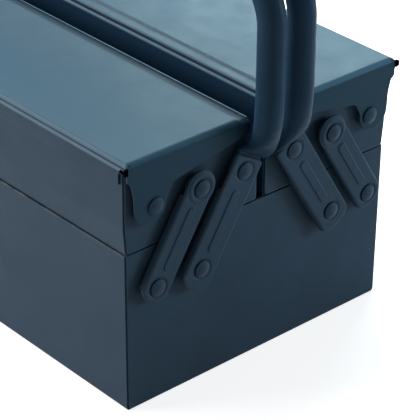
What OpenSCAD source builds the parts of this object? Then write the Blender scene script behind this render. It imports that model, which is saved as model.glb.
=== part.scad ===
// Two-tier cantilever tool box in folded sheet steel.
// A box body carries two trays side by side. Each tray hangs on four links and has its own lid.
// The inner links are riveted to the flattened ends of a tube handle, so spreading the two
// handles swings the trays up and outwards on a parallel linkage.
// X runs along the length, Y across it and Z up. The origin is at the middle of the base.

/* [Body] */
// Length of the box body
body_l = 334; // [240:1:440]
// Width of the box body
body_w = 220; // [200:1:260]
// Height of the box body up to its rim
body_h = 113.5; // [90:0.5:160]
// How far each long wall leans out from the base to the rim
body_flare = 0.8; // [0:0.1:1.5]
// Thickness of the sheet steel
sheet_t = 1; // [0.8:0.1:1.2]
// Outside radius of the folded edges
fold_r = 2; // [1.5:0.1:2.4]
// Depth of the flanges folded inwards around each end panel
flange_d = 8; // [5:0.5:12]
// Height of the hem folded over inside the rim
hem_h = 8; // [5:0.5:12]
// How far the folded walls stop short of the end panels' outer faces
wrap_set = 1; // [0:0.1:1.5]

/* [Trays] */
// Height of a tray's outer wall
tray_h = 55.5; // [53:0.5:56]
// How far a tray's outer wall is set out above its foot
tray_flare = 1.7; // [0:0.1:2.2]
// Height of the leaning foot of a tray's outer wall
foot_h = 18; // [10:0.5:25]
// Outside radius of the bend along the outer edge of a tray's floor
seam_r = 1.4; // [1.2:0.1:2]
// Gap between the two trays at the middle of the box
tray_gap = 5.5; // [4:0.5:8]
// Height at which the inner wall starts to lean outwards
shoulder_low = 28; // [24:0.5:32]
// Height at which the inner wall is upright again
shoulder_high = 42; // [40:0.5:48]
// How far the shoulder sets the inner wall back
shoulder_d = 8.2; // [6:0.1:10]
// Outside diameter of the curl along the top of the inner wall
curl_d = 3.2; // [2.8:0.1:3.6]
// Height of the curl's top above the tray floor
curl_top = 61.8; // [60:0.1:62]

/* [Lids] */
// Height from the tray floor to the top of the lid
lid_h = 65; // [63:0.5:70]
// Gap between a lid's end skirt and the tray end
skirt_gap = 4; // [3.5:0.1:4.2]
// Outside radius of the fold around the lid's top
lid_fold = 3; // [2.4:0.1:3.2]
// Depth of the flange turned down along the lid's outer edge
lid_flange = 15.3; // [12:0.1:18]
// How far that flange stops short of the tray's ends
flange_back = 3; // [0:0.5:8]
// Depth of the pressed bead's middle below the lid's top
bead_at = 5.1; // [5.1:0.1:6.5]
// Height of the pressed bead
bead_h = 3; // [2.6:0.1:3]
// How far the bead's sloping sides reach out before its edge is rounded
bead_out = 2.6; // [2.4:0.1:3]
// Width of the lowered band along the lid's inner edge
band_w = 7.5; // [6:0.5:14]
// How far the band lies below the lid's top
band_drop = 1.3; // [0.5:0.1:1.4]
// Depth of the lip turned down at the lid's inner edge
lip_d = 5.2; // [4:0.1:5.6]
// Depth of the end skirt at its inner end
skirt_in = 11; // [10:0.5:15]
// Depth of the end skirt on the inner side of the ear
skirt_mid = 22.5; // [20:0.5:24]
// Depth of the end skirt on the outer side of the ear
skirt_edge = 12; // [10:0.5:15]
// Half the width of the ear that the lid hinges on
ear_r = 12; // [9:0.5:12.5]
// Length of the ear below the hinge rivet
ear_drop = 11; // [10:0.5:12.5]
// How far the ear is set outwards from the hinge rivet
ear_shift = 3.5; // [1:0.5:4]
// Distance from the body's side to the lid's hinge rivet
lid_pivot_inset = 19; // [18:0.5:20]

/* [Linkage] */
// Distance from the body's side to the outer link's lower rivet
pivot_inset = 19; // [17:0.5:21]
// Distance between neighbouring link rivets
pivot_pitch = 35; // [32:0.5:36]
// How far each closed link leans towards the middle
link_lean = 35; // [30:0.5:36]
// Depth of the lower rivets below the body's rim
pivot_drop = 26; // [22:0.5:34]
// Height of the upper rivets above the tray floor
pivot_lift = 30.7; // [28:0.1:33]
// Distance from an end panel to the back of the handle's flattened end
stand_off = 3.4; // [3.2:0.1:4]
// Width of a link
link_w = 25; // [22:0.5:26]
// Thickness of a link's plate
link_t = 2; // [1.6:0.1:2.4]
// Length of the inner link beyond its lower rivet
link_end = 14.5; // [13:0.5:17]
// Length of the outer link beyond its lower rivet
outer_end = 9.8; // [9:0.1:12]
// Length of the inner link beyond its upper rivet
link_top = 9; // [8:0.5:11]
// How much closer the outer link lies to the box than the inner link
link_step = 1.2; // [1:0.1:1.6]
// Thickness of the flanges folded back along a link's sides
link_flange_t = 1.5; // [1:0.1:2]
// Height of the rib pressed into a link
rib_h = 0.9; // [0.6:0.1:1.6]
// Width of the rib pressed into a link
rib_w = 7; // [6:0.5:10]
// Diameter of the raised round boss at the outer link's top
boss_d = 23; // [22.6:0.2:25]

/* [Handles] */
// Diameter of the handle tube
handle_d = 18; // [15:0.5:19]
// Wall of the handle tube
handle_wall = 1.5; // [1:0.1:2]
// Gap between the two handles when they are closed
handle_gap = 6.5; // [4:0.5:9]
// Gap between a body end and the handle's leg
handle_stand = 10.5; // [9:0.5:13]
// Height of the grip's top above the base
handle_h = 289; // [270:1:320]
// Bend radius at the tube's centre line
handle_bend_r = 38; // [30:1:45]
// Width of the tube's flattened end
flat_w = 25; // [23:0.5:26]
// Thickness of the tube's flattened end
flat_t = 3; // [2.4:0.1:3.2]

/* [Rivets] */
// Diameter of the rivet shanks
rivet_d = 5; // [4:0.1:6]
// Diameter of the rivet domes
dome_d = 11.2; // [9:0.1:12]
// Height of the rivet domes
dome_h = 2.8; // [2:0.1:3.2]
// Thickness of the flat heads inside the box
head_t = 1.4; // [1:0.1:2]
// Outside diameter of the spacers
spacer_d = 15; // [12:0.5:16]
// Radial clearance of a link on its rivet
run_gap = 0.05; // [0.02:0.01:0.1]
// Radial clearance of the outer link on its upper rivet
free_gap = 0.3; // [0.2:0.05:0.4]
// Clearance between a moving face and the face beside it
face_gap = 0.1; // [0.05:0.01:0.3]

/* [Hidden] */

$fn = 48;

enamel = [0.20, 0.29, 0.36];
enamel_lid = [0.38, 0.48, 0.55];
black = [0.03, 0.03, 0.03];

// Clearance between the pieces of one folded assembly
fit = 0.05;
// The closed tray sits this far above the rim
seat_gap = 0.3;
// Overlap that joins the shapes of one piece
join = 0.01;
// Outside radius of an end panel's folded edge
flange_r = 2 * sheet_t + 0.2;
// Straight steps in the arc of a folded edge
arc_steps = 6;

half_l = body_l / 2;
half_w = body_w / 2;
tray_z = body_h + seat_gap;
tray_in = tray_gap / 2;
wall_in = tray_in + shoulder_d;
lid_z = tray_z + lid_h;

// Rivet places across and up
lower_z = body_h - pivot_drop;
upper_z = tray_z + pivot_lift;
outer_low_y = half_w - pivot_inset;
inner_low_y = outer_low_y - pivot_pitch;
outer_up_y = outer_low_y - link_lean;
inner_up_y = inner_low_y - link_lean;
lid_pivot_y = half_w - lid_pivot_inset;
link_rise = upper_z - lower_z;
link_len = norm([link_lean, link_rise]);
lean_deg = atan2(link_lean, link_rise);

// Levels of the stacked pieces, outwards from the end panels
skirt_out = skirt_gap + sheet_t;
inner_level = stand_off + flat_t;
inner_face = inner_level + link_t;
outer_level = inner_level - link_step;
outer_face = outer_level + link_t;
boss_rise = 0.8;
boss_face = outer_face + boss_rise;
boss_slope = 2.2;
dimple_d = dome_d + 5;
dimple_deep = 0.8;
// Sheet left between the boss's dimple and the hollow behind it
boss_sheet = 1.2;
boss_roof = boss_face - dimple_deep - boss_sheet;
edge_round = 1.8;
edge_steps = 3;
// Depth of the flanges along a link's sides
link_flange_d = 2.4;
outer_link_w = link_w - 2.5;
// How far the sloping corners of a link's lower end rise
end_rise = 4.7;
// Where a link's rib and flanges stop below its upper rivet
rib_stop = 16;
inner_flange_stop = 16;
outer_flange_stop = 8;

// Lid outline
wall_out = half_w + tray_flare;
lid_gap = 0.4;
flange_y = wall_out + lid_gap + sheet_t;
skirt_side = flange_y - 0.5;
bead_r = 1.15;
bead_foot_r = 0.6;
bead_face = flange_y + bead_out - bead_r * (1 / sin(atan2(bead_h / 2, bead_out)) - 1);
bead_z = lid_z - bead_at;
bead_low = bead_z - bead_h / 2 - 0.8;
lip_y = wall_in + curl_d + 0.5;
lip_fold = 1.1;
band_y = lip_y + band_w;
band_z = lid_z - band_drop;
band_slope = 1.5;
// Fillet inside the fold at a lid's end
end_fillet = 1.9;
// Outside radius of that fold
end_fold = 4.2;
// Plugs over the ends of the bead
cap_t = 1;
cap_drop = 6.4;
lap_l = 4;

// Handle
handle_r = handle_d / 2;
handle_y = handle_gap / 2 + handle_r;
handle_x = half_l + handle_stand + handle_r;
bend_z = handle_h - handle_r - handle_bend_r;
// Height above the upper rivet, then how far the tube has moved in to the end, how far it
// has been pressed flat, spread and turned with the link, and its shift across
stations = [
    [55, 0, 0, 0, 0, 0], [42, 0.03, 0.013, 0, 0, 0], [32, 0.09, 0.08, 0, 0, 0],
    [26, 0.16, 0.16, 0.014, 0.05, 0], [21.5, 0.25, 0.24, 0.057, 0.2, -0.2],
    [18, 0.36, 0.333, 0.17, 0.42, -0.5], [15.2, 0.48, 0.427, 0.343, 0.66, -1],
    [12.8, 0.62, 0.547, 0.571, 0.86, -1.4], [10.8, 0.78, 0.72, 0.8, 0.97, -1.7],
    [9.6, 0.9, 0.867, 0.943, 1, -1.8], [8.4, 1, 1, 1, 1, -1.8]
];
// How softly the tube's middle turns from upright into line with the link
turn_soft = 2;
ring_points = 32;
// How far the foot's facets stand outside the tube they join, and the tongue inside the flat
foot_over = 0.06;

function unit(v) = v / norm(v);
function left_of(v) = [-v[1], v[0]];
function mix(a, b, f) = a + (b - a) * f;
function short_turn(a) = a > 180 ? a - 360 : a < -180 ? a + 360 : a;
function reversed(p) = [for (i = [len(p) - 1 : -1 : 0]) p[i]];

// Arc of radius r that rounds the corner b between a and c
function corner_arc(a, b, c, r) =
    let (u = unit(a - b), v = unit(c - b), half = acos(u * v) / 2,
         m = b + unit(u + v) * r / sin(half),
         s = b + u * r / tan(half) - m, e = b + v * r / tan(half) - m,
         start = atan2(s[1], s[0]), sweep = short_turn(atan2(e[1], e[0]) - start))
    [for (k = [0 : arc_steps]) m + r * [cos(start + sweep * k / arc_steps),
                                        sin(start + sweep * k / arc_steps)]];

// Open path with each inner corner rounded; a corner is [y, z, radius]
function round_path(c) = [
    for (i = [0 : len(c) - 1])
        let (p = [c[i][0], c[i][1]])
        each (i == 0 || i == len(c) - 1 || c[i][2] == 0) ? [p]
            : corner_arc([c[i - 1][0], c[i - 1][1]], p, [c[i + 1][0], c[i + 1][1]], c[i][2])
];

// Closed outline with every corner rounded
function round_outline(c) = [
    for (i = [0 : len(c) - 1])
        let (p = [c[i][0], c[i][1]], q = c[(i + len(c) - 1) % len(c)], n = c[(i + 1) % len(c)])
        each c[i][2] == 0 ? [p] : corner_arc([q[0], q[1]], p, [n[0], n[1]], c[i][2])
];

// Unit normal to the left of a path at point i, lengthened at a bend
function path_normal(p, i) =
    let (a = i == 0 ? unit(p[1] - p[0]) : unit(p[i] - p[i - 1]),
         b = i == len(p) - 1 ? a : unit(p[i + 1] - p[i]),
         na = left_of(a), nb = left_of(b))
    (na + nb) / (1 + na * nb);

function shifted(p, d) = [for (i = [0 : len(p) - 1]) p[i] + d * path_normal(p, i)];

// Closed strip of sheet, t thick, to the left of a path
function strip(p, t) = concat(p, reversed(shifted(p, t)));

// Path through the points with every bend rounded to the same radius
function bent(p, r) = round_path([for (q = p) [q[0], q[1], r]]);

// Corners of the body and the tray along the outside face of the sheet
rim_w = half_w + body_flare;
body_corners = [[rim_w, body_h], [half_w, 0], [-half_w, 0], [-rim_w, body_h]];
tray_corners = [[wall_out, tray_z + tray_h], [wall_out, tray_z + foot_h], [half_w, tray_z],
                [tray_in, tray_z], [tray_in, tray_z + shoulder_low],
                [wall_in, tray_z + shoulder_high], [wall_in, tray_z + tray_h]];

// Curl at the top of the tray's inner wall, three quarters of a turn
curl_r = curl_d / 2;
curl_path = [for (a = [180 : -15 : -75])
    [wall_in + curl_r, tray_z + curl_top - curl_r] + curl_r * [cos(a), sin(a)]];

// ---- Places ----

// Draws in the plane of the right end panel: first across, then up, then outwards
module on_right_end(out = 0) {
    translate([half_l + out, 0, 0])
        rotate([90, 0, 90])
            children();
}

module to_left() {
    mirror([1, 0, 0])
        children();
}

module to_front() {
    mirror([0, 1, 0])
        children();
}

module both_ends() {
    children();
    to_left()
        children();
}

module both_sides() {
    children();
    to_front()
        children();
}

// Extrudes a cross-section along the length, short of each end by the inset
module along_length(inset = 0) {
    translate([-half_l + inset, 0, 0])
        rotate([90, 0, 90])
            linear_extrude(height = body_l - 2 * inset)
                children();
}

// Frame of a link: up the link from its lower rivet, across it, and outwards
module on_link(y, level) {
    on_right_end(level)
        translate([y, lower_z, 0])
            rotate([0, 0, lean_deg])
                children();
}

// ---- Fasteners ----

// Domed rivet from a flat head behind the panel to a dome on the face at the given level
module rivet(y, z, face, head_gap = 0) {
    dome_r = dome_d / 2;
    side_h = 0.4 * dome_h;
    cap_h = dome_h - side_h;
    ball_r = (dome_r * dome_r + cap_h * cap_h) / (2 * cap_h);
    head_level = -sheet_t - head_gap;
    on_right_end()
        translate([y, z, 0]) {
            translate([0, 0, head_level - head_t])
                cylinder(h = head_t, d = dome_d);
            translate([0, 0, head_level - join])
                cylinder(h = face - head_level + 2 * join, d = rivet_d);
            translate([0, 0, face])
                intersection() {
                    translate([0, 0, dome_h - ball_r])
                        sphere(r = ball_r);
                    cylinder(h = dome_h + 1, d = dome_d);
                }
        }
}

module spacer(y, z, height) {
    on_right_end()
        translate([y, z, 0])
            difference() {
                cylinder(h = height, d = spacer_d);
                translate([0, 0, -1])
                    cylinder(h = height + 2, d = rivet_d + 2 * run_gap);
            }
}

module rivet_hole(y, z) {
    on_right_end(-flange_d)
        translate([y, z, 0])
            cylinder(h = 2 * flange_d, d = rivet_d + 2 * run_gap);
}

// ---- Box body ----

module body_wrap() {
    wall_down = unit(body_corners[1] - body_corners[0]);
    color(enamel) {
        along_length(wrap_set)
            polygon(strip(bent(body_corners, fold_r), -sheet_t));
        both_sides()
            along_length(sheet_t + flange_d + 1)
                polygon([for (p = [[sheet_t - join, 0], [2 * sheet_t, 0],
                                   [2 * sheet_t, hem_h], [sheet_t - join, hem_h]])
                    body_corners[0] - left_of(wall_down) * p[0] + wall_down * p[1]]);
    }
}

// End panel inside the folded wrap, with its flanges and a hem along its top
module end_panel(corners, hem_from, hem_to) {
    edge = bent(shifted(corners, -sheet_t - fit), flange_r);
    hem_top = corners[0][1];
    on_right_end(-sheet_t)
        linear_extrude(height = sheet_t)
            polygon(edge);
    on_right_end(-sheet_t - flange_d)
        linear_extrude(height = flange_d + join)
            polygon(strip(edge, -sheet_t));
    on_right_end(-2 * sheet_t)
        translate([hem_from, hem_top - hem_h])
            cube([hem_to - hem_from, hem_h, sheet_t + join]);
}

module body_end() {
    inside = half_w - 2 * sheet_t - 2 * fit;
    color(enamel)
        difference() {
            end_panel(body_corners, -inside, inside);
            both_sides() {
                rivet_hole(outer_low_y, lower_z);
                rivet_hole(inner_low_y, lower_z);
            }
        }
}

module body_rivets() {
    color(enamel)
        both_ends()
            both_sides() {
                rivet(outer_low_y, lower_z, outer_face - dimple_deep + face_gap);
                rivet(inner_low_y, lower_z, inner_face - dimple_deep + face_gap);
            }
}

module body_spacers() {
    color(enamel)
        both_ends()
            both_sides() {
                spacer(outer_low_y, lower_z, outer_level - face_gap);
                spacer(inner_low_y, lower_z, inner_level - face_gap);
            }
}

// ---- Trays ----

module tray_pan() {
    wall = round_path([for (i = [0 : len(tray_corners) - 1])
        [each tray_corners[i], i == 2 ? seam_r : fold_r]]);
    upto_curl = [for (i = [0 : len(wall) - 2]) wall[i]];
    color(enamel)
        along_length(wrap_set)
            polygon(strip(concat(upto_curl, curl_path), -sheet_t));
}

module tray_end() {
    inside_low = wall_in + 2 * sheet_t + 2 * fit;
    inside_high = wall_out - 2 * sheet_t - 2 * fit;
    color(enamel)
        difference() {
            end_panel(tray_corners, inside_low, inside_high);
            rivet_hole(outer_up_y, upper_z);
            rivet_hole(inner_up_y, upper_z);
            rivet_hole(lid_pivot_y, upper_z);
        }
}

module tray_rivets() {
    color(enamel)
        both_ends() {
            rivet(outer_up_y, upper_z, boss_face - dimple_deep + face_gap);
            rivet(lid_pivot_y, upper_z, skirt_out + face_gap);
        }
}

module tray_spacers() {
    color(enamel)
        both_ends() {
            spacer(outer_up_y, upper_z, boss_roof - face_gap);
            spacer(inner_up_y, upper_z, stand_off - face_gap);
            spacer(lid_pivot_y, upper_z, skirt_gap - face_gap);
        }
}

// ---- Lids ----

// Lid across the box: a bead and a fold along its outer edge, a flat top, a lowered band and
// a lip turned down inside the tray
module lid_top() {
    path = round_path([
        [flange_y, bead_low, 0], [flange_y, bead_z - bead_h / 2, bead_foot_r],
        [flange_y + bead_out, bead_z, bead_r], [flange_y, bead_z + bead_h / 2, bead_foot_r],
        [flange_y, lid_z, lid_fold], [band_y + band_slope, lid_z, 0], [band_y, band_z, 0],
        [lip_y, band_z, lip_fold], [lip_y, band_z - lip_d, 0]
    ]);
    along_length(-skirt_out)
        polygon(strip(path, sheet_t));
}

// Flange below the bead, over the tray's outer wall
module lid_side_flange() {
    along_length(flange_back)
        polygon(strip([[flange_y, lid_z - lid_flange], [flange_y, bead_low + join]], sheet_t));
}

// End skirt with the ear that hangs on the hinge rivet
module lid_skirt() {
    low = lid_z - skirt_edge;
    ear_out = lid_pivot_y + ear_shift + ear_r;
    ear_in = lid_pivot_y + ear_shift - ear_r;
    outline = round_outline([
        [lip_y, band_z, lip_fold], [lip_y, lid_z - skirt_in, 2],
        [ear_in - 4.5, lid_z - skirt_mid, 6], [ear_in, upper_z + 3, 4],
        [ear_in, upper_z - ear_drop, ear_r - 0.5], [ear_out, upper_z - ear_drop, ear_r - 0.5],
        [ear_out + 1, upper_z + 11, 8], [skirt_side - 3, low - 2.5, 3],
        [skirt_side, low, 1], [skirt_side, lid_z, lid_fold],
        [band_y + band_slope, lid_z, 0], [band_y, band_z, 0]
    ]);
    on_right_end(skirt_gap)
        difference() {
            linear_extrude(height = sheet_t)
                polygon(outline);
            translate([lid_pivot_y, upper_z, -1])
                cylinder(h = sheet_t + 2, d = rivet_d + 2 * run_gap);
        }
}

// Cuts the sharp edge along the top of an end skirt to the radius of a fold
module lid_end_fold(from, to, top) {
    translate([half_l + skirt_out - end_fold, from, top - end_fold])
        difference() {
            cube([end_fold + 1, to - from, end_fold + 1]);
            rotate([-90, 0, 0])
                translate([0, 0, -1])
                    cylinder(h = to - from + 2, r = end_fold);
        }
}

// Thickens the inside of that fold
module lid_end_fillet(from, to, top) {
    on_right_end(skirt_gap - end_fillet)
        translate([from, top - sheet_t - end_fillet])
            cube([to - from, end_fillet + join, end_fillet + join]);
}

module lid() {
    color(enamel_lid)
        difference() {
            union() {
                lid_top();
                lid_side_flange();
                both_ends() {
                    lid_skirt();
                    lid_end_fillet(band_y + band_slope, skirt_side - lid_fold, lid_z);
                    lid_end_fillet(lip_y + sheet_t / 2, band_y, band_z);
                }
            }
            both_ends() {
                lid_end_fold(band_y, flange_y + 1, lid_z);
                lid_end_fold(0, band_y, band_z);
            }
        }
}

// Cap over the end of the bead, lapped round its outer edge
module lid_plugs() {
    cap_low = lid_z - cap_drop;
    cap_high = lid_z - cap_t;
    cap_in = skirt_side + 2 * fit;
    lap_in = bead_face + fit;
    cap_out = lap_in + cap_t;
    cap = round_outline([[cap_in, cap_high, 0.4], [cap_in, cap_low, 0.4],
                         [cap_out, cap_low + 0.6, 0.8], [cap_out, cap_high - 1.2, 1.2]]);
    color(black)
        both_ends() {
            on_right_end(skirt_out + fit)
                linear_extrude(height = cap_t)
                    polygon(cap);
            on_right_end(skirt_out + fit - lap_l)
                linear_extrude(height = lap_l + join)
                    polygon([[lap_in, cap_low + 1], [cap_out, cap_low + 1.6],
                             [cap_out, cap_high - 2.6], [lap_in, cap_high - 1.8]]);
        }
}

// ---- Links ----

// Outline of a link about its lower rivet, drawn in from its edge by c
function link_outline(wide, top, end, c) =
    let (w = wide / 2 - c, low = end - c, side = end - end_rise)
    round_outline([[-w, -side, 4], [-w / 2, -low, 4], [w / 2, -low, 4],
                   [w, -side, 4], [w, top - c, 2], [-w, top - c, 2]]);

// Formed plate with a rounded edge and a pressed rib, its back at height 0
module link_plate(w, top, end) {
    hull()
        for (k = [0 : edge_steps])
            linear_extrude(height = link_t - edge_round * (1 - sin(90 * k / edge_steps)))
                polygon(link_outline(w, top, end, edge_round * (1 - cos(90 * k / edge_steps))));
    hull()
        for (s = [link_end, link_len - rib_stop])
            translate([0, s, link_t - join])
                cylinder(h = rib_h, d1 = rib_w, d2 = rib_w - 2 * rib_h, $fn = 32);
}

// Flanges folded back along both sides of a link
module link_flanges(w, end, stop) {
    from = 1 - end + end_rise;
    for (side = [-1, 1])
        translate([side * (w - link_flange_t) / 2 - link_flange_t / 2, from, -link_flange_d])
            cube([link_flange_t, link_len - stop - from, link_flange_d + join]);
}

// Round recess under a rivet's dome
module dimple(s, level) {
    translate([0, s, level - dimple_deep])
        cylinder(h = dimple_deep + join, d1 = dome_d + 1, d2 = dimple_d);
}

module pivot_hole(s, gap) {
    translate([0, s, -flange_d])
        cylinder(h = 3 * flange_d, d = rivet_d + 2 * gap);
}

module inner_link() {
    color(enamel)
        on_link(inner_low_y, inner_level)
            difference() {
                union() {
                    link_plate(link_w, link_len + link_top, link_end);
                    link_flanges(link_w, link_end, inner_flange_stop);
                }
                dimple(0, link_t);
                dimple(link_len, link_t);
                pivot_hole(0, run_gap);
                pivot_hole(link_len, run_gap);
            }
}

// The outer link ends in a round boss raised clear of the spacer behind it
module outer_link() {
    color(enamel)
        on_link(outer_low_y, outer_level)
            difference() {
                union() {
                    link_plate(outer_link_w, link_len, outer_end);
                    link_flanges(outer_link_w, outer_end, outer_flange_stop);
                    translate([0, link_len, 0]) {
                        cylinder(h = link_t - 0.6, d = boss_d);
                        translate([0, 0, link_t - 0.6])
                            cylinder(h = boss_rise + 0.6, d1 = boss_d, d2 = boss_d - 2 * boss_slope);
                    }
                }
                translate([0, link_len, -1])
                    cylinder(h = boss_roof - outer_level + 1, d = spacer_d + 4);
                dimple(0, link_t);
                dimple(link_len, link_t + boss_rise);
                pivot_hole(0, run_gap);
                pivot_hole(link_len, free_gap);
            }
}

// ---- Handles ----

function sign_power(v, p) = sign(v) * pow(abs(v), p);

// Ring of the tube's lower end at one station: a circle that is pressed into a flat
function ring(s) =
    let (flat_x = half_l + stand_off + flat_t / 2,
         link_y = inner_up_y - s[0] * tan(lean_deg) - handle_y,
         x = mix(handle_x, flat_x, s[1]),
         y = handle_y + (link_y + norm([link_y, turn_soft])) / 2 + s[5],
         a = mix(handle_r + foot_over, flat_t / 2, s[2]),
         b = mix(handle_r + foot_over, flat_w / 2, s[3]),
         turn = s[4] * lean_deg,
         p = mix(1, 0.4, s[2]))
    [for (k = [0 : ring_points - 1])
        let (t = 360 * k / ring_points, across = b * sign_power(sin(t), p))
        [x + a * sign_power(cos(t), p), y + across * cos(turn),
         upper_z + s[0] + across * sin(turn)]];

module handle_foot() {
    rings = [for (s = stations) ring(s)];
    n = ring_points;
    last = len(rings) - 1;
    sides = [for (j = [0 : last - 1], k = [0 : n - 1])
        let (m = (k + 1) % n)
        each [[j * n + k, j * n + m, (j + 1) * n + m],
              [j * n + k, (j + 1) * n + m, (j + 1) * n + k]]];
    caps = [[for (k = [n - 1 : -1 : 0]) k], [for (k = [0 : n - 1]) last * n + k]];
    polyhedron(points = [for (r = rings) each r], faces = concat(sides, caps));
}

// Flat end of the tube, sandwiched between the link and the spacer
module handle_tongue() {
    w = flat_w / 2 - 2;
    end = stations[len(stations) - 1];
    reach = end[0] / cos(lean_deg) - end[5] * sin(lean_deg) + 0.6;
    thick = flat_t - 2 * foot_over;
    on_link(inner_low_y, stand_off + foot_over)
        translate([0, link_len, 0]) {
            cylinder(h = thick, r = w);
            translate([-w, 0, 0])
                cube([2 * w, reach, thick]);
        }
}

module handle() {
    leg_from = upper_z + stations[0][0] - 1;
    color(enamel)
        difference() {
            both_ends() {
                handle_foot();
                handle_tongue();
                translate([handle_x, handle_y, leg_from])
                    tube(bend_z - leg_from);
                translate([handle_x - handle_bend_r, handle_y, bend_z])
                    rotate([90, 0, 0])
                        rotate_extrude(angle = 90)
                            translate([handle_bend_r, 0])
                                tube_section();
                translate([0, handle_y, handle_h - handle_r])
                    rotate([0, 90, 0])
                        tube(handle_x - handle_bend_r);
            }
            both_ends()
                on_link(inner_low_y, stand_off)
                    pivot_hole(link_len, run_gap);
        }
}

module tube_section() {
    difference() {
        circle(d = handle_d);
        circle(d = handle_d - 2 * handle_wall);
    }
}

module tube(length) {
    linear_extrude(height = length)
        tube_section();
}

module handle_rivets() {
    color(enamel)
        both_ends()
            rivet(inner_up_y, upper_z, inner_face - dimple_deep, face_gap);
}

// ---- Assembly ----

body_wrap();
to_left() body_end();  // body_end_left
body_end();  // body_end_right
body_rivets();
body_spacers();
to_front() tray_pan();  // front_tray_pan
to_left() to_front() tray_end();  // front_tray_end_left
to_front() tray_end();  // front_tray_end_right
to_front() tray_rivets();  // front_tray_rivets
to_front() tray_spacers();  // front_tray_spacers
tray_pan();  // rear_tray_pan
to_left() tray_end();  // rear_tray_end_left
tray_end();  // rear_tray_end_right
tray_rivets();  // rear_tray_rivets
tray_spacers();  // rear_tray_spacers
to_front() lid();  // front_lid
to_front() lid_plugs();  // front_lid_plugs
lid();  // rear_lid
lid_plugs();  // rear_lid_plugs
to_front() handle();  // front_handle
to_front() handle_rivets();  // front_handle_rivets
handle();  // rear_handle
handle_rivets();  // rear_handle_rivets
to_left() to_front() inner_link();  // front_inner_link_left
to_front() inner_link();  // front_inner_link_right
to_left() to_front() outer_link();  // front_outer_link_left
to_front() outer_link();  // front_outer_link_right
to_left() inner_link();  // rear_inner_link_left
inner_link();  // rear_inner_link_right
to_left() outer_link();  // rear_outer_link_left
outer_link();  // rear_outer_link_right
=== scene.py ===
import math

import bpy
from mathutils import Matrix, Vector


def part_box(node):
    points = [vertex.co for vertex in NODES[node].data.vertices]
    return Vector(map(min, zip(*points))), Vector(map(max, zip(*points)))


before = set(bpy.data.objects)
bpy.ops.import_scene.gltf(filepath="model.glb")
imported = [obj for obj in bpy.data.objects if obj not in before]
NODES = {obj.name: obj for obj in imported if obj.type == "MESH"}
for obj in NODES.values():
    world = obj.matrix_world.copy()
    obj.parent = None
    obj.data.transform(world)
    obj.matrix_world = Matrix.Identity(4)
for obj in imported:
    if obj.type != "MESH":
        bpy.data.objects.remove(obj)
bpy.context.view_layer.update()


# ---------------------------------------------------------------- paint values

# Linear colours of the paints and of the painted light and shade, by place
WALL = (0.049, 0.088, 0.133)
TUBE = (0.022, 0.058, 0.102)
LID_LIT_TOP = (0.045, 0.121, 0.182)  # upward faces of the lids, painted lighter for the light that falls on them
SKIRT_SHADE = (0.031, 0.075, 0.114)  # end skirts of the lids, painted shade
FOLD_HIGHLIGHT = (0.10, 0.18, 0.24)  # painted highlight on the folds of the lids that look to the front
GAP_SHADE = (0.004, 0.036, 0.078)  # painted shade down the tray walls in the gap
CURL_HIGHLIGHT = (0.12, 0.23, 0.30)  # painted highlight on the curls along the top of the gap
BARE_AND_HIGHLIGHT = (0.26, 0.25, 0.19)  # broken line along the body's rim: partly bare metal, partly painted highlight
CAP = (0.002, 0.002, 0.003)

# Tints of a paint, as multiples of its colour: random clouds, flecks and grain, painted shade and
# painted highlights
CLOUD_DARK, CLOUD_PALE = 0.92, 1.07
FLECK_TINT = 1.5
SEAM_SHADE_TINT = 0.12
EDGE_GLINT_TINT = 2.4
INNER_SHADE_TINT = 0.45
CREASE_HIGHLIGHT_TINT = 1.9
GRAIN_TINT = 1.6

# How strongly each covers the paint under it, from 0 to 1: flecks, painted shade in corners,
# painted highlight on edges
FLECKS = 0.2
SEAM_SHADE_STRENGTH = 0.7
EDGE_GLINT_STRENGTH = 0.8

# Roughness: the enamel's, how far it varies down and up, and the plastic's range
SATIN, SATIN_LESS, SATIN_MORE = 0.42, 0.05, 0.07
MATTE = (0.5, 0.65)

# Orange peel's strength and depth, and how far the painted shade spreads from a corner (lengths in
# metres)
PEEL, PEEL_DEPTH = 0.05, 0.0004
SEAM_SHADE_REACH = 0.003

# The part of a noise or a mask that is stretched to run from none to all
MIDDLE = (0.3, 0.7)
CLOUD_STRETCH = (0.35, 0.65)
FLECK_STRETCH = (0.62, 0.75)
PATCH_STRETCH = (0.42, 0.56)
OPENNESS = (0.25, 0.85)
EDGE_TURN = (0.98, 0.86)

# Where a face looks, as parts of its normal. Between UPWARD's and ENDWAYS' two values the
# painted light and shade come in. A fold's painted highlight lies between its first two values and
# fades over the third.
UPWARD = (0.2, 0.7)
ENDWAYS = (0.6, 0.9)
SIDEWAYS = 0.4
FRONT_FOLD = (0.3, 0.85, 0.1)
END_FOLD = (0.5, 0.8, 0.12)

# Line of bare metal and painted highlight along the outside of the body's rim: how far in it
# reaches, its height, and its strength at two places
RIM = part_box("body_wrap")[1]
SKIN = 0.001
LINE_H, LINE_SOFT = 0.0009, 0.0001
LINE_LEFT_X, LINE_RIGHT_X = -0.16, 0.13
LINE_LEFT, LINE_RIGHT = 0.95, 0.25

# Painted shade, with less gloss, along the front lid's inner edge: its half width and how far it
# fades out
FRONT_LID_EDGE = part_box("front_lid")[1].y
DULL_SHADE_HALF, DULL_SHADE_FADE = 0.00185, 0.009

# Gloss of the lids' faces that don't look up, where it is 1 on those that do
SIDE_GLOSS = 0.4

# Painted highlight on the lids' end folds, stronger towards the rear
CREASE_Y = 0.09
CREASE_FRONT, CREASE_REAR = 0.1, 0.9

# Painted shade in the gap between the trays: how far from its middle the deep blue reaches, and
# how strong it is at two heights
GAP_HALF = 0.02
GAP_LOW_Z, GAP_HIGH_Z = 0.12, 0.172
GAP_LOW, GAP_HIGH = 0.95, 0.7

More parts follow.
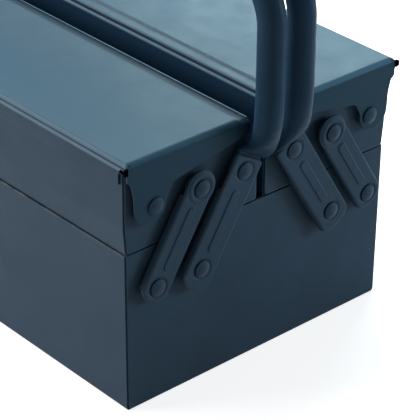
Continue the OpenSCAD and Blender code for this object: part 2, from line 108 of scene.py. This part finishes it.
# Painted highlight on the curls along the top of the gap: how far down it reaches, and how strong
# it gets
PAN_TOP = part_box("front_tray_pan")[1].z
CURL_H, CURL_SOFT = 0.0014, 0.0006
CURL_GLINT_MAX = 0.9

# ---------------------------------------------------------------- shader helpers


def new_material(name):
    m = bpy.data.materials.new(name)
    m.use_nodes = True
    nt = m.node_tree
    nt.nodes.clear()
    out = nt.nodes.new("ShaderNodeOutputMaterial")
    bsdf = nt.nodes.new("ShaderNodeBsdfPrincipled")
    nt.links.new(bsdf.outputs["BSDF"], out.inputs["Surface"])
    return m, nt, bsdf


def noise(nt, coord, scale, detail, rough=0.5):
    n = nt.nodes.new("ShaderNodeTexNoise")
    n.inputs["Scale"].default_value = scale
    n.inputs["Detail"].default_value = detail
    n.inputs["Roughness"].default_value = rough
    nt.links.new(coord, n.inputs["Vector"])
    return n.outputs["Fac"]


def span(nt, value, lo, hi, to_lo=0.0, to_hi=1.0):
    """Maps lo..hi to to_lo..to_hi, and holds the ends beyond them."""
    r = nt.nodes.new("ShaderNodeMapRange")
    r.inputs["From Min"].default_value = lo
    r.inputs["From Max"].default_value = hi
    r.inputs["To Min"].default_value = to_lo
    r.inputs["To Max"].default_value = to_hi
    nt.links.new(value, r.inputs["Value"])
    return r.outputs["Result"]


def plug(nt, sock, value):
    """Sets a socket to a number or a colour, or links it to another socket."""
    if isinstance(value, (int, float)):
        sock.default_value = value
    elif isinstance(value, tuple):
        sock.default_value = (*value, 1.0)
    else:
        nt.links.new(value, sock)


def mix_color(nt, fac, a, b):
    m = nt.nodes.new("ShaderNodeMix")
    m.data_type = "RGBA"
    for sock, value in ((m.inputs[0], fac), (m.inputs[6], a), (m.inputs[7], b)):
        plug(nt, sock, value)
    return m.outputs[2]


def math_node(nt, op, a, b=0.0):
    n = nt.nodes.new("ShaderNodeMath")
    n.operation = op
    plug(nt, n.inputs[0], a)
    plug(nt, n.inputs[1], b)
    return n.outputs[0]


def product(nt, first, *rest):
    for value in rest:
        first = math_node(nt, "MULTIPLY", first, value)
    return first


def split(nt, vector):
    """X, Y and Z of a vector."""
    n = nt.nodes.new("ShaderNodeSeparateXYZ")
    nt.links.new(vector, n.inputs[0])
    return n.outputs["X"], n.outputs["Y"], n.outputs["Z"]


def absolute(nt, value):
    return math_node(nt, "ABSOLUTE", value)


def tinted(color, k):
    return tuple(min(1.0, c * k) for c in color)


def band_mask(nt, value, lo, hi, soft):
    """1 where the value lies between lo and hi, fading over soft."""
    rise = span(nt, value, lo - soft, lo)
    fall = span(nt, value, hi, hi + soft, 1.0, 0.0)
    return product(nt, rise, fall)


# ---------------------------------------------------------------- paints


def rim_wear_and_highlight(nt, coord, base):
    """A pale broken line along the rim that the trays sit down on: partly paint worn through to
    bare metal, partly a painted highlight.
    """
    x, y, z = split(nt, coord)
    height = band_mask(nt, z, RIM.z - LINE_H, RIM.z + LINE_SOFT, LINE_SOFT)
    outside = math_node(nt, "GREATER_THAN", absolute(nt, y), RIM.y - SKIN)
    along = span(nt, x, LINE_LEFT_X, LINE_RIGHT_X, LINE_LEFT, LINE_RIGHT)
    patches = span(nt, noise(nt, coord, scale=70, detail=3, rough=0.6), *PATCH_STRETCH)
    return mix_color(nt, product(nt, height, outside, along, patches), base, BARE_AND_HIGHLIGHT)


def lid_light_and_shade(nt, coord, normal, base, color, lit_top):
    """Painted light and shade: lighter on upward faces for the light that falls on them, darker on
    the end skirts and along the front lid's inner band, with painted highlights along the folds.
    Also returns how glossy each place is, from 0 to 1."""
    normal_x, normal_y, up = split(nt, normal)
    endways = absolute(nt, normal_x)
    y = split(nt, coord)[1]
    # End skirts painted darker, as painted shade
    base = mix_color(nt, span(nt, endways, *ENDWAYS), base, SKIRT_SHADE)
    # Upward faces painted lighter, for the light that falls on them
    base = mix_color(nt, span(nt, up, *UPWARD), base, lit_top)
    # Painted shade, with less gloss, along the front lid's inner edge
    dull_and_shade = band_mask(nt, y, FRONT_LID_EDGE - DULL_SHADE_HALF, FRONT_LID_EDGE + DULL_SHADE_HALF, DULL_SHADE_FADE)
    base = mix_color(nt, dull_and_shade, base, tinted(color, INNER_SHADE_TINT))
    # Painted highlight on the folds that look to the front
    to_front = math_node(nt, "LESS_THAN", normal_y, -SIDEWAYS)
    fold = product(nt, band_mask(nt, up, *FRONT_FOLD), to_front)
    base = mix_color(nt, fold, base, FOLD_HIGHLIGHT)
    # Painted highlight on the end folds, stronger towards the rear
    to_end = math_node(nt, "GREATER_THAN", endways, SIDEWAYS)
    toward_rear = span(nt, y, -CREASE_Y, CREASE_Y, CREASE_FRONT, CREASE_REAR)
    crease = product(nt, band_mask(nt, up, *END_FOLD), to_end, toward_rear)
    base = mix_color(nt, crease, base, tinted(lit_top, CREASE_HIGHLIGHT_TINT))
    undulled = math_node(nt, "SUBTRACT", 1.0, dull_and_shade)
    gloss = product(nt, undulled, span(nt, up, *UPWARD, SIDE_GLOSS, 1.0))
    return base, gloss


def gap_shade_and_highlight(nt, coord, normal, base):
    """Painted shade, deep blue, down the gap between the trays, with a painted highlight on the
    curls along its top.
    """
    _, y, z = split(nt, coord)
    up = split(nt, normal)[2]
    # Painted shade down the gap, stronger lower down
    in_gap = math_node(nt, "LESS_THAN", absolute(nt, y), GAP_HALF)
    depth = span(nt, z, GAP_LOW_Z, GAP_HIGH_Z, GAP_LOW, GAP_HIGH)
    base = mix_color(nt, product(nt, in_gap, depth), base, GAP_SHADE)
    # Painted highlight on the upward faces of the curls
    curl_z = PAN_TOP - CURL_H
    at_top = span(nt, z, curl_z - CURL_SOFT, curl_z)
    curl = product(nt, in_gap, at_top, span(nt, up, *UPWARD, 0.0, CURL_GLINT_MAX))
    return mix_color(nt, curl, base, CURL_HIGHLIGHT)


def mottled(nt, coord, color):
    """The paint's colour with soft clouds and fine pale flecks."""
    cloud = span(nt, noise(nt, coord, scale=22, detail=4, rough=0.6), *CLOUD_STRETCH)
    base = mix_color(nt, cloud, tinted(color, CLOUD_DARK), tinted(color, CLOUD_PALE))
    fleck = span(nt, noise(nt, coord, scale=1400, detail=1), *FLECK_STRETCH, 0.0, FLECKS)
    return mix_color(nt, fleck, base, tinted(color, FLECK_TINT))


def shade_corners(nt, base, color, strength):
    """Painted shade in the seams and inner corners."""
    near = nt.nodes.new("ShaderNodeAmbientOcclusion")
    near.samples = 8
    near.inputs["Distance"].default_value = SEAM_SHADE_REACH
    shade_amount = span(nt, near.outputs["AO"], *OPENNESS, strength, 0.0)
    return mix_color(nt, shade_amount, base, tinted(color, SEAM_SHADE_TINT))


def rounded_edge(nt, radius):
    """A normal that rounds the edges over, and how strongly the painted highlight on them shows.
    """
    bevel = nt.nodes.new("ShaderNodeBevel")
    bevel.samples = 6
    bevel.inputs["Radius"].default_value = radius
    flat = nt.nodes.new("ShaderNodeNewGeometry").outputs["Normal"]
    turn = nt.nodes.new("ShaderNodeVectorMath")
    turn.operation = "DOT_PRODUCT"
    nt.links.new(bevel.outputs["Normal"], turn.inputs[0])
    nt.links.new(flat, turn.inputs[1])
    return bevel.outputs["Normal"], span(nt, turn.outputs["Value"], *EDGE_TURN, 0.0, EDGE_GLINT_STRENGTH)


def peeled(nt, coord, normal):
    """Orange peel over the given normal."""
    bump = nt.nodes.new("ShaderNodeBump")
    bump.inputs["Strength"].default_value = PEEL
    bump.inputs["Distance"].default_value = PEEL_DEPTH
    nt.links.new(noise(nt, coord, scale=900, detail=2), bump.inputs["Height"])
    nt.links.new(normal, bump.inputs["Normal"])
    return bump.outputs["Normal"]


def enamel(name, color, specular=0.04, edge=0.0005, rim=False, lit_top=None, pan=False):
    """Satin stove enamel: cloudy colour, fine orange-peel skin, duller patches, painted shade in
    the seams and softly rounded sheet edges with a painted highlight. The colour given for upward
    faces is painted light, lighter for the light that falls on them; rim adds the body's line of
    bare metal and painted highlight, and pan adds the painted shade and highlight of a tray's gap
    side."""
    m, nt, bsdf = new_material(name)
    on_piece = nt.nodes.new("ShaderNodeTexCoord")
    coord, facing = on_piece.outputs["Object"], on_piece.outputs["Normal"]
    base = mottled(nt, coord, color)
    gloss = None
    # Painted light and shade on the lids
    if lit_top:
        base, gloss = lid_light_and_shade(nt, coord, facing, base, color, lit_top)
    # Painted shade and highlight down the gap between the trays
    if pan:
        base = gap_shade_and_highlight(nt, coord, facing, base)
    # Painted shade in the seams and inner corners, half as strong on the lids
    base = shade_corners(nt, base, color, SEAM_SHADE_STRENGTH / 2 if lit_top else SEAM_SHADE_STRENGTH)
    # Line of bare metal and painted highlight along the body's rim
    if rim:
        base = rim_wear_and_highlight(nt, coord, base)
    normal, edge_glint = rounded_edge(nt, edge)
    if gloss:
        edge_glint = product(nt, edge_glint, gloss)
        specular = product(nt, gloss, specular)
    # Painted highlight along the rounded edges
    base = mix_color(nt, edge_glint, base, tinted(color, EDGE_GLINT_TINT))
    wear = noise(nt, coord, scale=60, detail=5, rough=0.65)
    rough = span(nt, wear, *MIDDLE, SATIN - SATIN_LESS, SATIN + SATIN_MORE)
    plug(nt, bsdf.inputs["Base Color"], base)
    plug(nt, bsdf.inputs["Roughness"], rough)
    plug(nt, bsdf.inputs["Specular IOR Level"], specular)
    plug(nt, bsdf.inputs["Normal"], peeled(nt, coord, normal))
    return m


def plastic(name, color):
    """Matte, finely grained plastic."""
    m, nt, bsdf = new_material(name)
    coord = nt.nodes.new("ShaderNodeTexCoord").outputs["Object"]
    grain = noise(nt, coord, scale=1500, detail=2)
    plug(nt, bsdf.inputs["Base Color"], mix_color(nt, grain, color, tinted(color, GRAIN_TINT)))
    plug(nt, bsdf.inputs["Roughness"], span(nt, grain, *MIDDLE, *MATTE))
    plug(nt, bsdf.inputs["Specular IOR Level"], 0.0)
    return m


satin = enamel("enamel_satin", WALL)

# A node takes the first coat whose word is in its name
COATS = (
    ("_rivets", satin),
    ("_plugs", plastic("cap_black", CAP)),
    ("_lid", enamel("enamel_lid", WALL, specular=0.1, edge=0.0008, lit_top=LID_LIT_TOP)),
    ("_pan", enamel("enamel_pan", WALL, pan=True)),
    ("_end_", enamel("enamel_end", WALL, edge=0.0012)),
    ("_handle", enamel("enamel_handle", TUBE, specular=0.05)),
    ("body_wrap", enamel("enamel_body", WALL, rim=True)),
    ("", satin),
)

for name, obj in NODES.items():
    coat = next(coat for word, coat in COATS if word in name)
    obj.data.materials.clear()
    obj.data.materials.append(coat)

# ---------------------------------------------------------------- stage

FLOOR_SIZE = 12
FLOOR_BOUNCE, FLOOR_SHOWN = 0.5, 0.9  # colour for the light it throws back, and as it is seen
FLOOR_GLOW, FAR_GLOW = 0.77, 1.0  # glow as it is seen, under the box and far out
GLOW_FROM, GLOW_TO = 0.5, 1.3  # metres from the middle of the box over which the glow rises
AMBIENT = 0.09
WHITE = (1, 1, 1)


def seen_direct(nt):
    """1 for rays that show the background itself: camera, glossy and transmission rays."""
    path = nt.nodes.new("ShaderNodeLightPath")
    first = math_node(nt, "MAXIMUM", path.outputs["Is Camera Ray"], path.outputs["Is Glossy Ray"])
    return math_node(nt, "MAXIMUM", first, path.outputs["Is Transmission Ray"])


def floor_white():
    m, nt, bsdf = new_material("floor_white")
    shown = seen_direct(nt)
    gray = mix_color(nt, shown, (FLOOR_BOUNCE,) * 3, (FLOOR_SHOWN,) * 3)
    reach = nt.nodes.new("ShaderNodeVectorMath")
    reach.operation = "LENGTH"
    nt.links.new(nt.nodes.new("ShaderNodeTexCoord").outputs["Object"], reach.inputs[0])
    glow = span(nt, reach.outputs["Value"], GLOW_FROM, GLOW_TO, FLOOR_GLOW, FAR_GLOW)
    plug(nt, bsdf.inputs["Base Color"], gray)
    plug(nt, bsdf.inputs["Roughness"], 0.9)
    plug(nt, bsdf.inputs["Specular IOR Level"], 0.1)
    plug(nt, bsdf.inputs["Emission Color"], WHITE)
    plug(nt, bsdf.inputs["Emission Strength"], product(nt, shown, glow))
    return m


def lay_floor():
    bpy.ops.mesh.primitive_plane_add(size=FLOOR_SIZE, location=(0, 0, 0))
    floor = bpy.context.object
    floor.name = "floor"
    floor.data.materials.append(floor_white())


def light_world():
    """White where it is seen, and AMBIENT on the object."""
    world = bpy.data.worlds.new("studio")
    bpy.context.scene.world = world
    world.use_nodes = True
    nt = world.node_tree
    nt.nodes.clear()
    out = nt.nodes.new("ShaderNodeOutputWorld")
    background = nt.nodes.new("ShaderNodeBackground")
    plug(nt, background.inputs["Color"], WHITE)
    plug(nt, background.inputs["Strength"], math_node(nt, "MAXIMUM", seen_direct(nt), AMBIENT))
    nt.links.new(background.outputs["Background"], out.inputs["Surface"])


def soft_box(name, at, aim, size, level, color):
    """Rectangular soft light; level is its power over pi times its area."""
    light = bpy.data.lights.new(name, "AREA")
    light.shape = "RECTANGLE"
    light.size, light.size_y = size
    light.energy = level * math.pi * size[0] * size[1]
    light.color = color
    obj = bpy.data.objects.new(name, light)
    bpy.context.collection.objects.link(obj)
    obj.location = at
    obj.rotation_euler = (Vector(aim) - Vector(at)).to_track_quat("-Z", "Y").to_euler()
    obj.visible_camera = False


lay_floor()
light_world()
soft_box("top_light", at=(-1.05, 0.15, 1.5), aim=(0, 0, 0.15), size=(1.5, 1.5),
         level=4.2, color=WHITE)
soft_box("left_light", at=(-1.3, -1.5, 0.9), aim=(0, 0, 0.1), size=(1.4, 1.2),
         level=5.3, color=(1.12, 0.97, 0.95))
soft_box("rear_light", at=(-0.29, 0.57, 0.45), aim=(0.05, 0.08, 0.18), size=(0.46, 0.20),
         level=9.0, color=(0.75, 1, 1.05))
soft_box("side_light", at=(1.05, 1.15, 0.42), aim=(0.167, 0, 0.1), size=(0.5, 0.5),
         level=8.2, color=(0.85, 1, 1.1))

# ---------------------------------------------------------------- camera

# Fitted to the straight edges of the box in the photograph: angles in degrees, lengths in metres
AZIMUTH, ELEVATION, ROLL = 48.066, 29.916, 0.658
TARGET = Vector((0.167, -0.04262, 0.12117))
DISTANCE = 1.2873
FOCAL_PX, PHOTO_PX = 2078.5, 420
SENSOR_MM = 36
CLIP_END = 50


def place_camera():
    az, el, roll = (math.radians(angle) for angle in (AZIMUTH, ELEVATION, ROLL))
    back = Vector((math.sin(az) * math.cos(el), -math.cos(az) * math.cos(el), math.sin(el)))
    right = (-back).cross(Vector((0, 0, 1))).normalized()
    up = right.cross(-back)
    rolled_right = right * math.cos(roll) + up * math.sin(roll)
    rolled_up = -right * math.sin(roll) + up * math.cos(roll)
    data = bpy.data.cameras.new("camera")
    data.sensor_width = SENSOR_MM
    data.lens = FOCAL_PX * SENSOR_MM / PHOTO_PX
    data.clip_end = CLIP_END
    camera = bpy.data.objects.new("camera", data)
    bpy.context.collection.objects.link(camera)
    turn = Matrix((rolled_right, rolled_up, back)).transposed().to_4x4()
    camera.matrix_world = Matrix.Translation(TARGET + back * DISTANCE) @ turn
    bpy.context.scene.camera = camera
    bpy.context.scene.view_settings.view_transform = "Standard"


place_camera()
